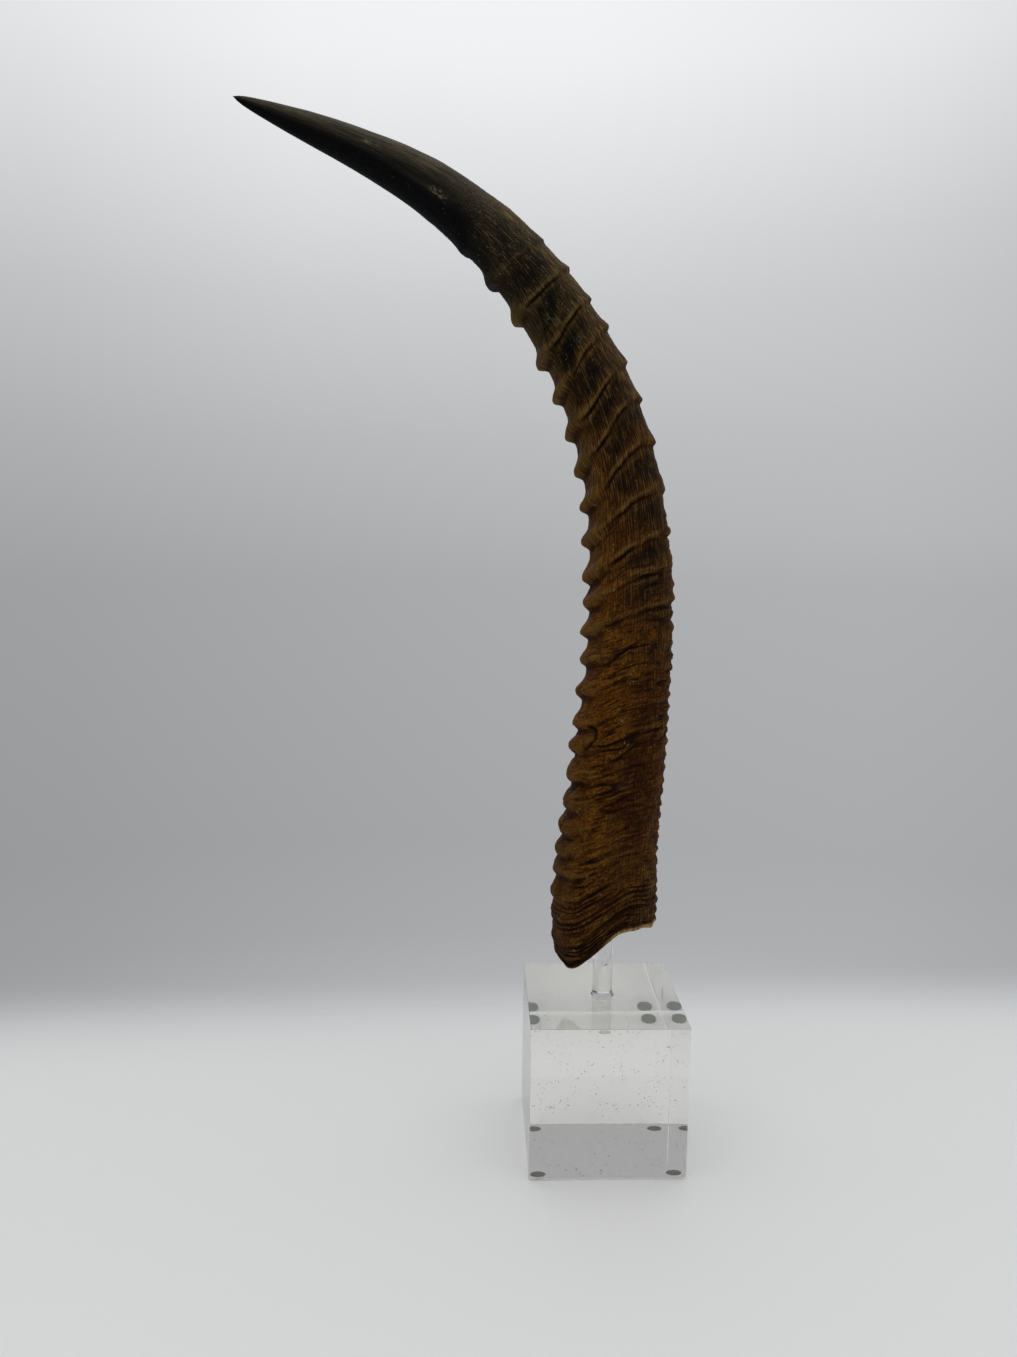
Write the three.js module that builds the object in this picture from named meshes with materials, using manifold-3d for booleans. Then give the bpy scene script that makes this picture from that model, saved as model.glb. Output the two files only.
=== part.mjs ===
// An impala horn shown on a clear acrylic stand.
//
// The horn is one hollow sheath that grew as a single piece. It hangs over a clear rod, which
// stands in a blind hole in the top of a clear cube, and the cube stands on four small pads.
//
// Millimetres, +Z up. The origin is on the surface that the pads stand on, under the middle of
// the whole object's box. The front of the horn, with its knobs, faces -X; its tip points to -X.

import * as THREE from 'three';
import { mergeVertices } from 'three/addons/utils/BufferGeometryUtils.js';
import Module from 'manifold-3d';

const wasm = await Module();
wasm.setup();

// ---------------------------------------------------------------- driving dimensions

const BLOCK_SIDE = 76.2; // a three inch cube
const BLOCK_CHAMFER = 0.6; // flat polished off every edge

const PAD_DIAMETER = 8;
const PAD_THICKNESS = 1.2;
const PAD_ROUNDING = 0.25;
// Each pad's centre in from the block's left or right side and from
// its front or back side. The pads were stuck on by hand, so no two sit alike.
const PAD_INSETS = {
  pad_front_left: { left: 4.6, front: 5.8 },
  pad_front_right: { right: 5.3, front: 6.5 },
  pad_back_left: { left: 4.7, back: 7.0 },
  pad_back_right: { right: 8.3, back: 7.0 },
};

const ROD_DIAMETER = 10;
const ROD_HOLE_DEPTH = 14.6;
const ROD_TOP = 200; // height of the rod's upper end above the block's underside
const ROD_CHAMFER = 0.5;

const SEAT_GAP = 0.3; // clearance that touching pieces keep

const HORN_LIP_WALL = 3.2; // thickness of the sheath at its open lower rim
const HORN_SOCKET_DEPTH = 15; // length over which the hollow is as narrow as the rod
const HORN_SIDES = 28; // facets around the horn

// The middle line of the horn, from the rim's plane to the tip: x and y from the block's
// centre and z from the block's underside. It leans back, curves over to the front, and bows
// sideways a little, as one horn of a lyre-shaped pair does.
const HORN_SPINE = [
  [-0.4, 0, 95],
  [0.6, 0, 133.5],
  [3.7, 1.5, 172.8],
  [7.5, 3.5, 212.5],
  [10, 6, 252.2],
  [9.6, 9, 293],
  [4.5, 12, 333.9],
  [-7.4, 14.5, 372.8],
  [-27.2, 16, 409.6],
  [-53.6, 16, 440.7],
  [-86.5, 14.5, 465.5],
  [-123.3, 11.5, 482.7],
  [-176.8, 6, 501.2],
];

// Half the width from front to back between the ridges, at lengths along the front edge.
const HORN_HALF_WIDTH = [
  [0, 25.5],
  [30, 25.7],
  [60, 23.6],
  [120, 21.5],
  [190, 19.9],
  [240, 18.1],
  [320, 16.4],
  [364, 14.7],
  [405, 12.4],
  [445, 8.8],
  [465, 6.8],
  [485, 4.1],
  [498, 1.7],
  [502, 0],
];
const HORN_SIDE_RATIO = [
  [0, 0.86],
  [502, 0.96],
]; // width from side to side over width from front to back

// Where the growth ridges stand out as knobs along the front edge, from the rim up.
const RIDGES = [
  12, 23, 34, 46, 56, 67, 79, 93, 108, 120, 135, 150, 165, 180, 194, 211, 229, 248, 267, 288, 308,
  333, 355, 377, 399,
];
const RIDGE_HEIGHT = [
  [0, 0.5],
  [40, 1.2],
  [90, 3.8],
  [310, 4],
  [355, 2.2],
  [376, 0.9],
  [399, 0.2],
]; // of a front knob, at lengths along the front edge
const RIDGE_REACH = 4.6; // from a ridge's crest to either foot
const RIDGE_SHARE_BEHIND = 0.34; // height of a ridge on the sides and back, over its front knob
const RIDGE_CLIMB = [
  [0, 22.5],
  [60, 17],
  [190, 18],
  [232, 26],
  [253, 25],
  [293, 17],
  [337, 3],
  [376, -4],
  [445, 0],
  [502, 0],
]; // how much further up the horn a growth line lies at the back than at the front
const RIM_SWEEP_FADES = 50; // length over which the rim's steeper sweep settles to the ridges'

const ACRYLIC = { color: 0xf2f5f3, roughness: 0.05, metalness: 0, transparent: true, opacity: 0.35 };

// ---------------------------------------------------------------- small helpers

// Smooth value of a table of [position, value] rows at a position.
function along(table, at) {
  const last = table.length - 1;
  const x = THREE.MathUtils.clamp(at, table[0][0], table[last][0]);
  let i = 0;
  while (i < last - 1 && x > table[i + 1][0]) {
    i += 1;
  }
  const slope = (a, b) => (table[b][1] - table[a][1]) / (table[b][0] - table[a][0]);
  const span = table[i + 1][0] - table[i][0];
  const t = (x - table[i][0]) / span;
  const startSlope = i === 0 ? slope(0, 1) : slope(i - 1, i + 1);
  const endSlope = i + 1 === last ? slope(i, last) : slope(i, i + 2);
  const startPart = (1 + 2 * t) * (1 - t) ** 2 * table[i][1];
  const endPart = t ** 2 * (3 - 2 * t) * table[i + 1][1];
  return startPart + endPart + span * t * (1 - t) * ((1 - t) * startSlope - t * endSlope);
}

function toSolid(geometry) {
  const bare = geometry.clone();
  bare.deleteAttribute('normal');
  bare.deleteAttribute('uv');
  const merged = mergeVertices(bare);
  const vertProperties = new Float32Array(merged.attributes.position.array);
  const triVerts = new Uint32Array(merged.index.array);
  return new wasm.Manifold(new wasm.Mesh({ numProp: 3, vertProperties, triVerts }));
}

function toGeometry(solid) {
  const mesh = solid.getMesh();
  const geometry = new THREE.BufferGeometry();
  geometry.setAttribute('position', new THREE.BufferAttribute(mesh.vertProperties, 3));
  geometry.setIndex(new THREE.BufferAttribute(mesh.triVerts, 1));
  geometry.computeVertexNormals();
  return geometry;
}

function namedMesh(name, geometry, material) {
  const mesh = new THREE.Mesh(geometry, material);
  mesh.name = name;
  return mesh;
}

// A round bar or disc on the Z axis, from z = 0 up, with both edges taken off.
function roundBar(radius, height, edge, facets) {
  const profile = [
    new THREE.Vector2(0, 0),
    new THREE.Vector2(radius - edge, 0),
    new THREE.Vector2(radius, edge),
    new THREE.Vector2(radius, height - edge),
    new THREE.Vector2(radius - edge, height),
    new THREE.Vector2(0, height),
  ];
  return new THREE.LatheGeometry(profile, facets).rotateX(Math.PI / 2);
}

// ---------------------------------------------------------------- block, rod and pads

function blockGeometry() {
  const half = BLOCK_SIDE / 2;
  const flat = half - BLOCK_CHAMFER;
  const outline = new THREE.Shape([
    new THREE.Vector2(-flat, -half),
    new THREE.Vector2(flat, -half),
    new THREE.Vector2(half, -flat),
    new THREE.Vector2(half, flat),
    new THREE.Vector2(flat, half),
    new THREE.Vector2(-flat, half),
    new THREE.Vector2(-half, flat),
    new THREE.Vector2(-half, -flat),
  ]);
  const cube = new THREE.ExtrudeGeometry(outline, {
    depth: BLOCK_SIDE - 2 * BLOCK_CHAMFER,
    bevelSize: BLOCK_CHAMFER,
    bevelThickness: BLOCK_CHAMFER,
    bevelOffset: -BLOCK_CHAMFER,
    bevelSegments: 1,
  }).translate(0, 0, BLOCK_CHAMFER);
  const drillRadius = ROD_DIAMETER / 2 + SEAT_GAP;
  const drillLength = 2 * ROD_HOLE_DEPTH;
  const drill = new THREE.CylinderGeometry(drillRadius, drillRadius, drillLength, 40)
    .rotateX(Math.PI / 2)
    .translate(0, 0, BLOCK_SIDE);
  return toGeometry(toSolid(cube).subtract(toSolid(drill)));
}

function makeBlock() {
  return namedMesh('block', blockGeometry(), new THREE.MeshStandardMaterial(ACRYLIC));
}

function makeRod() {
  const foot = BLOCK_SIDE - ROD_HOLE_DEPTH + SEAT_GAP;
  const bar = roundBar(ROD_DIAMETER / 2, ROD_TOP - foot, ROD_CHAMFER, 40);
  const rod = namedMesh('rod', bar, new THREE.MeshStandardMaterial(ACRYLIC));
  rod.position.z = foot;
  return rod;
}

function makePads() {
  const pads = new THREE.Group();
  const half = BLOCK_SIDE / 2;
  for (const [name, { left, right, front, back }] of Object.entries(PAD_INSETS)) {
    const x = left === undefined ? half - right : left - half;
    const y = front === undefined ? half - back : front - half;
    const disc = roundBar(PAD_DIAMETER / 2, PAD_THICKNESS, PAD_ROUNDING, 32);
    const felt = new THREE.MeshStandardMaterial({ color: 0x4b4f4c, roughness: 0.95, metalness: 0 });
    const pad = namedMesh(name, disc, felt);
    pad.position.set(x, y, 0);
    pads.add(pad);
  }
  return pads;
}

// ---------------------------------------------------------------- horn

const spine = new THREE.CatmullRomCurve3(HORN_SPINE.map((point) => new THREE.Vector3(...point)));
spine.arcLengthDivisions = 800;
const spineLength = spine.getLength();

// How far round from front (0) to back (1) an angle lies, as the growth lines climb.
// Near the rim they stay low under the front and then sweep up quickly along the sides.
function climbShare(angle, length) {
  const acrossHorn = (1 - Math.cos(angle)) / 2;
  const settled = Math.sin((Math.PI / 2) * acrossHorn);
  const atRim = THREE.MathUtils.smoothstep(acrossHorn, 0.06, 0.68);
  const fade = THREE.MathUtils.clamp(length / RIM_SWEEP_FADES, 0, 1);
  return THREE.MathUtils.lerp(atRim, settled, fade);
}

// A point of the outer surface, on the growth line that starts at a length along the front.
function outerPoint({ length, crest }, angle) {
  const climbed = length + along(RIDGE_CLIMB, length) * climbShare(angle, length);
  const share = THREE.MathUtils.clamp(climbed / spineLength, 0, 1);
  const tangent = spine.getTangentAt(share);
  const side = new THREE.Vector3(0, -1, 0).addScaledVector(tangent, tangent.y).normalize();
  const front = new THREE.Vector3().crossVectors(side, tangent);
  const frontShare = Math.max(0, Math.cos(angle)) ** 1.5;
  const height = along(RIDGE_HEIGHT, length) * crest;
  const relief = height * THREE.MathUtils.lerp(RIDGE_SHARE_BEHIND, 1, frontShare);
  const halfDepth = along(HORN_HALF_WIDTH, climbed);
  const halfWidth = halfDepth * along(HORN_SIDE_RATIO, climbed);
  return spine
    .getPointAt(share)
    .addScaledVector(front, (halfDepth + relief) * Math.cos(angle))
    .addScaledVector(side, (halfWidth + relief) * Math.sin(angle));
}

// A point of the hollow: a cone from the inside of the rim to a socket around the rod.
function innerPoint({ depth, socketRadius, socketHeight }, angle) {
  const rimCentre = spine.getPointAt(0);
  const rim = outerPoint({ length: 0, crest: 0 }, angle);
  const outwards = rim.clone().sub(rimCentre).setZ(0);
  const lip = rim.addScaledVector(outwards.normalize(), -HORN_LIP_WALL);
  const socket = new THREE.Vector3(
    -socketRadius * Math.cos(angle),
    -socketRadius * Math.sin(angle),
    socketHeight,
  );
  return lip.lerp(socket, depth);
}

function outerStations() {
  const stations = [];
  const feet = [
    [-1, 0],
    [-0.5, 0.6],
    [0, 1],
    [0.5, 0.6],
    [1, 0],
  ];
  for (const ridge of RIDGES) {
    for (const [reach, crest] of feet) {
      stations.push({ length: ridge + reach * RIDGE_REACH, crest });
    }
  }
  const bareTipStart = RIDGES.at(-1) + 2 * RIDGE_REACH;
  const bareTipSteps = 12;
  const bareTipEnd = HORN_HALF_WIDTH.at(-1)[0];
  for (let step = 0; step < bareTipSteps; step += 1) {
    const length = THREE.MathUtils.lerp(bareTipStart, bareTipEnd, Math.sqrt(step / bareTipSteps));
    stations.push({ length, crest: 0 });
  }
  stations.push({ length: bareTipEnd, crest: 0 });
  return [{ length: 0, crest: 0 }, ...stations];
}

function innerStations() {
  const socketMouth = ROD_TOP - HORN_SOCKET_DEPTH;
  const socketEnd = ROD_TOP + SEAT_GAP;
  const socketRadius = ROD_DIAMETER / 2 + SEAT_GAP;
  const stations = [{ depth: 1, socketRadius: 0, socketHeight: socketEnd }];
  stations.push({ depth: 1, socketRadius, socketHeight: socketEnd });
  const coneSteps = 8;
  for (let step = coneSteps; step >= 0; step -= 1) {
    stations.push({ depth: step / coneSteps, socketRadius, socketHeight: socketMouth });
  }
  return stations;
}

// The sheath is turned as a closed profile, then each turned ring is laid along the spine.
function hornGeometry() {
  const inner = innerStations();
  const outer = outerStations();
  const count = inner.length + outer.length;
  const profile = Array.from({ length: count }, (_, i) => new THREE.Vector2(i && i < count - 1, i));
  const geometry = new THREE.LatheGeometry(profile, HORN_SIDES);
  const position = geometry.attributes.position;
  for (let i = 0; i < position.count; i += 1) {
    const ring = i % count;
    const side = Math.floor(i / count) % HORN_SIDES;
    const angle = (2 * Math.PI * side) / HORN_SIDES;
    const point =
      ring < inner.length
        ? innerPoint(inner[ring], angle)
        : outerPoint(outer[ring - inner.length], angle);
    position.setXYZ(i, point.x, point.y, point.z);
  }
  geometry.computeVertexNormals();
  return geometry;
}

function makeHorn() {
  const keratin = new THREE.MeshStandardMaterial({ color: 0x5a3f22, roughness: 0.6, metalness: 0 });
  return namedMesh('horn', hornGeometry(), keratin);
}

// ---------------------------------------------------------------- the whole object

const onPads = new THREE.Group();
onPads.position.z = PAD_THICKNESS + SEAT_GAP;
onPads.add(makeBlock(), makeRod(), makeHorn());

const impalaHorn = new THREE.Group();
const tipX = HORN_SPINE.at(-1)[0];
impalaHorn.position.x = -(tipX + BLOCK_SIDE / 2) / 2;
impalaHorn.add(onPads, makePads());

export default impalaHorn;
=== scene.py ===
# %% [markdown]
# # An impala horn on a clear stand
#
# The horn is one sheath of keratin that grew ring by ring: a smooth dark tip, then growth
# ridges that stand out as knobs along its front, then a wrinkled base with an open rim. It hangs
# over a clear acrylic rod in a clear acrylic cube, which stands on four felt pads.
#
# The measured model is loaded first as a fixed frame. The object's sizes are in millimetres, and
# are turned into metres where they meet Blender. The studio's sizes are in metres.

# %% Load the measured model
import math

import bpy
import numpy as np
from mathutils import Matrix, Vector, noise


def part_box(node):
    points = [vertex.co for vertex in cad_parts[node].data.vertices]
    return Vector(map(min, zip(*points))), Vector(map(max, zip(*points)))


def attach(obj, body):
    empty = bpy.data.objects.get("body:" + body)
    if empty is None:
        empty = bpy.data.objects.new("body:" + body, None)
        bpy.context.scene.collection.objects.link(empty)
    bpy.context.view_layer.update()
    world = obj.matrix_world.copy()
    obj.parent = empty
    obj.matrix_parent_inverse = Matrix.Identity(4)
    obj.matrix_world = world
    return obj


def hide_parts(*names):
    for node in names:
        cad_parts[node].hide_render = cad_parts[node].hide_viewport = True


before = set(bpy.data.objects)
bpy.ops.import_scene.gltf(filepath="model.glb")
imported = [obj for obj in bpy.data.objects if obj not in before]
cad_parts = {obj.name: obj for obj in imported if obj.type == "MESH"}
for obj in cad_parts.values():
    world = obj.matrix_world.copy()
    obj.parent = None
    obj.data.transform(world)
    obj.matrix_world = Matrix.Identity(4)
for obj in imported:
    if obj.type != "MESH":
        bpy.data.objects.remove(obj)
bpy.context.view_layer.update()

MM = 0.001
block_low, block_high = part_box("block")
BLOCK_SIDE = (block_high.x - block_low.x) / MM
BLOCK_MIDDLE = np.array([(block_low.x + block_high.x) / 2, 0, block_low.z]) / MM
print("block side", round(BLOCK_SIDE, 2), "mm, its middle at", BLOCK_MIDDLE.round(2))

# %% [markdown]
# ## Camera
#
# The camera is level with the middle of the horn and looks down a little, from half a metre away,
# so the cube shows its top, and it needs a short lens there. It is turned in three steps: a small
# roll about its own line of sight, the tilt down, and then the turn to the right.

# %% Stand the camera
CAMERA_PLACE = Vector((3.17, -503.51, 312.56)) * MM
CAMERA_TURN = math.radians(-1.90)
CAMERA_TILT = math.radians(90 - 8.26)
CAMERA_ROLL = math.radians(0.69)
SENSOR_WIDTH = 36
LENS = 27.86
CLIPPING = (0.01, 60)


def deselect():
    """Lets go of everything, so that an operator acts only on what is added or chosen next."""
    bpy.ops.object.select_all(action="DESELECT")


deselect()
bpy.ops.object.camera_add(location=CAMERA_PLACE)
camera = bpy.context.object
camera.name = "camera"
turned = Matrix.Rotation(CAMERA_TURN, 4, "Z") @ Matrix.Rotation(CAMERA_TILT, 4, "X")
camera.rotation_euler = (turned @ Matrix.Rotation(CAMERA_ROLL, 4, "Z")).to_euler()
camera.data.lens = LENS
camera.data.sensor_width = SENSOR_WIDTH
camera.data.clip_start, camera.data.clip_end = CLIPPING
bpy.context.scene.camera = camera
bpy.context.scene.view_settings.view_transform = "Standard"
print("camera at", tuple(round(v, 3) for v in camera.location))

# %% [markdown]
# ## Helpers
#
# Colours are written as the hex values that a paint chart gives, and one function turns them to
# the linear values that the renderer works in. Light has no paint chart, so it is given as a plain
# level. One more function adds a node: it sets the node's own settings, and fills each input with
# a plain value, with an output, or with another node, whose first output it takes. The last one
# takes up a primitive: the finished pieces all have their place in their mesh.


# %% Helpers for colours, nodes and primitives
def linear(hex_colour, alpha=1.0):
    """The linear value of an sRGB hex colour."""
    parts = [int(hex_colour[i : i + 2], 16) / 255 for i in (1, 3, 5)]
    light = [p / 12.92 if p <= 0.04045 else ((p + 0.055) / 1.055) ** 2.4 for p in parts]
    return (*light, alpha)


def add(tree, kind, inputs=None, stops=None, **settings):
    """Adds a node with its settings, its colour stops if it has any, and its inputs."""
    node = tree.nodes.new("ShaderNode" + kind)
    for name, value in settings.items():
        setattr(node, name, value)
    for i, (place, colour) in enumerate(stops or []):
        element = node.color_ramp.elements[i] if i < 2 else node.color_ramp.elements.new(place)
        element.position = place
        element.color = colour
    for name, value in (inputs or {}).items():
        if isinstance(value, bpy.types.Node):
            value = value.outputs[0]
        if isinstance(value, bpy.types.NodeSocket):
            tree.links.new(value, node.inputs[name])
        else:
            node.inputs[name].default_value = value
    return node


def new_material(name):
    """A material with an empty tree, and that tree."""
    material = bpy.data.materials.new(name)
    material.use_nodes = True
    material.node_tree.nodes.clear()
    return material, material.node_tree


def grey(level):
    """A grey of that linear level, as a colour."""
    return (level, level, level, 1)


def daylight(level):
    """Light of that linear level, a little cooler than grey."""
    return (0.986 * level, 0.998 * level, 1.019 * level, 1)


def take(name):
    """Names what was just added, and moves its place, turn and scale into its mesh."""
    piece = bpy.context.object
    piece.name = name
    bpy.ops.object.transform_apply(location=True, rotation=True, scale=True)
    return piece


# %% [markdown]
# ## Studio
#
# The stand is in a small light tent: light comes from above and behind, the walls glow softly,
# and the side that the camera stands on stays dim. The tent is painted on the sky, which lights
# the object from every direction and gets in no view's way. Its light depends on how high a
# direction points, and on how far it turns from the tent's back wall. The tent's right wall glows
# a little more than its left one low down, and its upper corners are a little dim.

# %% Tables of the tent's light
# sine of the direction's height, and the wall's light there
TENT_BY_HEIGHT = [(-1.0, 0.55), (-0.42, 0.44), (-0.37, 0.39), (-0.29, 0.37), (-0.05, 0.40)]
TENT_BY_HEIGHT += [(0.08, 0.49), (0.20, 0.61), (0.38, 0.88), (0.60, 1.0), (1.0, 1.0)]
# cosine of the turn from the back wall, and the share of that light
TENT_BY_TURN = [(-1.0, 0.12), (-0.3, 0.2), (0.3, 0.5), (0.8, 0.84), (0.92, 0.95), (1.0, 1.0)]
# sine of the turn to the right, and the share of the light there: low down, and high up
SIDE_LOW = [(-0.36, 0.93), (-0.16, 0.98), (0.1, 1.05), (0.36, 1.14), (0.6, 1.16), (1.0, 1.1)]
SIDE_HIGH = [(-0.36, 0.93), (-0.16, 1.0), (0.1, 1.0), (0.36, 0.95), (0.5, 0.9), (1.0, 0.9)]
SIDE_CHANGES = (0.0, 0.25)  # sine of the height, where the low row turns into the high one
ABOVE_FLOOR = (-0.6, -0.5)  # sine of the height, from where the turn begins to matter
GLOW = 2.0  # some shares are above 1, so the sides are painted at half, and this makes up for it
print("tent:", len(TENT_BY_HEIGHT), "heights,", len(TENT_BY_TURN), "turns")

# %% Paint the tent on the sky
world = bpy.data.worlds.new("light_tent")
bpy.context.scene.world = world
world.use_nodes = True
sky = world.node_tree
sky.nodes.clear()
direction = add(sky, "TexCoord").outputs["Generated"]
aim = add(sky, "SeparateXYZ", {0: direction}).outputs
flat = add(sky, "CombineXYZ", {"X": aim["X"], "Y": aim["Y"]})
level = add(sky, "VectorMath", {0: flat}, operation="NORMALIZE")
compass = add(sky, "SeparateXYZ", {0: level}).outputs
walls = []
for measure, table in (
    (aim["Z"], [(at, daylight(light)) for at, light in TENT_BY_HEIGHT]),
    (compass["Y"], [(at, grey(light)) for at, light in TENT_BY_TURN]),
    (compass["X"], [(at, grey(light / GLOW)) for at, light in SIDE_LOW]),
    (compass["X"], [(at, grey(light / GLOW)) for at, light in SIDE_HIGH]),
):
    moved = add(sky, "MapRange", {"Value": measure, "From Min": -1.0})
    stops = [((at + 1) / 2, light) for at, light in table]
    walls.append(add(sky, "ValToRGB", {"Fac": moved}, stops=stops))
tent, by_turn, low_sides, high_sides = walls
shares = []
for (start, end), below, above in (
    (ABOVE_FLOOR, grey(1), by_turn),
    (SIDE_CHANGES, low_sides, high_sides),
):
    risen = {"Value": aim["Z"], "From Min": start, "From Max": end}
    rise = add(sky, "MapRange", risen)
    both = {"Factor": rise, "A": below, "B": above}
    shares.append(add(sky, "Mix", both, data_type="RGBA").outputs["Result"])
for share in shares:
    both = {"Factor": 1.0, "A": tent, "B": share}
    product = add(sky, "Mix", both, data_type="RGBA", blend_type="MULTIPLY")
    tent = product.outputs["Result"]
glow = add(sky, "Background", {"Color": tent, "Strength": GLOW})
add(sky, "OutputWorld", {"Surface": glow})
print("sky:", world.name, "with", len(sky.nodes), "nodes")

# %% [markdown]
# The floor is a sheet of matte white paper, which has no gloss, so the light on it changes slowly
# and nothing mirrors in it. It fades out into the tent's light behind the object, and far from it
# on every side, so no edge or corner shows.

# %% Lay the paper floor
FLOOR_SIZE = 4.0
FADE_BEHIND = (0.055, 0.2)  # how far behind the stand's middle the paper fades
FADE_SLANT = -0.045  # how far that line turns towards the tent's right wall
FADE_FAR = (0.9, 1.9)  # how far from the stand it fades on every side

deselect()
bpy.ops.mesh.primitive_plane_add(size=FLOOR_SIZE)
floor = take("paper_floor")
paper, tree = new_material("matte white paper")
place = add(tree, "TexCoord").outputs["Object"]
spot = add(tree, "SeparateXYZ", {0: place}).outputs
slanted = {0: spot["X"], 1: FADE_SLANT, 2: spot["Y"]}
deep = add(tree, "Math", slanted, operation="MULTIPLY_ADD")
away = add(tree, "VectorMath", {0: place}, operation="LENGTH").outputs["Value"]
fades = []
for distance, (start, end) in ((deep, FADE_BEHIND), (away, FADE_FAR)):
    limits = {"Value": distance, "From Min": start, "From Max": end}
    fades.append(add(tree, "MapRange", limits, interpolation_type="SMOOTHSTEP"))
both = dict(enumerate(fades))
gone = add(tree, "Math", both, operation="MAXIMUM")
sheet = add(tree, "BsdfDiffuse", {"Color": linear("#eaeaea"), "Roughness": 0.6})
nothing = add(tree, "BsdfTransparent")
parted = {"Fac": gone, 1: sheet, 2: nothing}
faded = add(tree, "MixShader", parted)
add(tree, "OutputMaterial", {"Surface": faded})
floor.data.materials.append(paper)
print("floor", FLOOR_SIZE, "m across")

# %% [markdown]
# One wide soft lamp in the tent's roof makes the pool of light that the stand is in. A clear cube
# lets much of such light through to the paper under it, but the renderer stops all of it there, so
# about half of the lamp's light comes from a twin that casts no shadow. The tent's back wall is
# close behind the stand, and the clear cube shows it: light that goes down into the cube is thrown
# up by its polished underside, out at its back and on to the foot of the wall. So a card stands
# where the wall would be, which only light that has gone through the acrylic sees.

# %% Hang the lamp and stand the wall card
LAMP_HEIGHT = 0.9
LAMP_PLACE = (0.04, -0.22)
LAMP_SIZE = (1.5, 0.9)
LAMP_WATTS = 4.8
THROUGH_WATTS = 4.7
WALL_PLACE = 0.21
WALL_SIZE = (1.6, 0.8)
WALL_BY_HEIGHT = [(0, 0.40), (0.1, 0.365), (0.31, 0.42), (0.46, 0.57), (0.6, 0.9)]  # m, light

for lamp_name, watts in (("roof_lamp", LAMP_WATTS), ("roof_lamp_through_cube", THROUGH_WATTS)):
    deselect()
    bpy.ops.object.light_add(type="AREA", location=(*LAMP_PLACE, LAMP_HEIGHT))
    lamp = bpy.context.object
    lamp.name = lamp_name
    lamp.data.shape = "RECTANGLE"
    lamp.data.size, lamp.data.size_y = LAMP_SIZE
    lamp.data.energy = watts
    lamp.data.use_shadow = lamp_name == "roof_lamp"
    lamp.visible_camera = False

deselect()
wall_middle = (0, WALL_PLACE, WALL_SIZE[1] / 2)
upright = (math.radians(90), 0, 0)
bpy.ops.mesh.primitive_plane_add(size=1, location=wall_middle, rotation=upright)
bpy.context.object.scale = (*WALL_SIZE, 1)
wall = take("wall_card")
card, tree = new_material("glowing tent wall")
place = add(tree, "TexCoord").outputs["Object"]
rise = add(tree, "SeparateXYZ", {0: place}).outputs["Z"]
stops = [(at, daylight(light)) for at, light in WALL_BY_HEIGHT]
shade = add(tree, "ValToRGB", {"Fac": rise}, stops=stops)
shine = add(tree, "Emission", {"Color": shade, "Strength": 1.0})
add(tree, "OutputMaterial", {"Surface": shine})
wall.data.materials.append(card)
for kind in ("camera", "diffuse", "glossy", "shadow", "volume_scatter"):
    setattr(wall, "visible_" + kind, False)
print("lamp", LAMP_WATTS, "W and its twin", THROUGH_WATTS, "W; wall card at", WALL_PLACE, "m")

# %% [markdown]
# ## The horn's shape
#
# A horn is easiest to think of straight. On the straightened horn every growth line is level, so
# a point needs two numbers: the growth line it lies on, named by its length along the front edge,
# and the angle around the horn from the front. The tables below say how the middle line runs, how
# thick the horn is and how the growth lines climb from the front to the back.
#
# Each table is read by one smooth curve, so there are no corners between its rows.

# %% Tables of the horn's shape
HORN_SPINE = [
    (-0.4, 0, 95),
    (0.6, 0, 133.5),
    (3.7, 1.5, 172.8),
    (7.5, 3.5, 212.5),
    (10, 6, 252.2),
    (9.6, 9, 293),
    (4.5, 12, 333.9),
    (-7.4, 14.5, 372.8),
    (-27.2, 16, 409.6),
    (-53.6, 16, 440.7),
    (-86.5, 14.5, 465.5),
    (-123.3, 11.5, 482.7),
    (-176.8, 6, 501.2),
]  # x and y from the block's middle, z from its underside
HALF_WIDTH = [
    (0, 25.5),
    (30, 25.7),
    (60, 23.6),
    (120, 21.5),
    (190, 19.9),
    (240, 18.1),
    (320, 16.4),
    (364, 14.7),
    (405, 12.4),
    (445, 8.8),
    (465, 6.8),
    (485, 4.1),
    (498, 1.7),
    (502, 0),
]  # from the middle line to the front, between the ridges
SIDE_RATIO = [(0, 0.86), (502, 0.96)]  # width from side to side over width front to back
GROWTH_CLIMB = [
    (0, 22.5),
    (60, 17),
    (190, 18),
    (232, 26),
    (253, 25),
    (293, 17),
    (337, 3),
    (376, -4),
    (445, 0),
    (502, 0),
]  # how much further up a growth line lies at the back than at the front
RIM_SWEEP_FADES = 50  # the growth line where the rim's own sweep has faded out
TIP = HALF_WIDTH[-1][0]
print("horn", TIP, "mm long along its curve,", 2 * HALF_WIDTH[0][1], "mm deep at its rim")


def along(table, at):
    """Smooth values of a table of (position, value) rows at the given positions."""
    x, y = np.array(table, float).T
    slope = np.gradient(y, x)
    slope[1:-1] = (y[2:] - y[:-2]) / (x[2:] - x[:-2])
    at = np.clip(at, x[0], x[-1])
    i = np.clip(np.searchsorted(x, at, side="right") - 1, 0, len(x) - 2)
    span = x[i + 1] - x[i]
    t = (at - x[i]) / span
    ends = (1 + 2 * t) * (1 - t) ** 2 * y[i] + t**2 * (3 - 2 * t) * y[i + 1]
    return ends + span * t * (1 - t) * ((1 - t) * slope[i] - t * slope[i + 1])


def soft_step(low, high, at):
    """0 below low, 1 above high and smooth between."""
    t = np.clip((at - low) / (high - low), 0, 1)
    return t * t * (3 - 2 * t)


# %% The middle line
SPINE_SAMPLES = 2000

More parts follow.
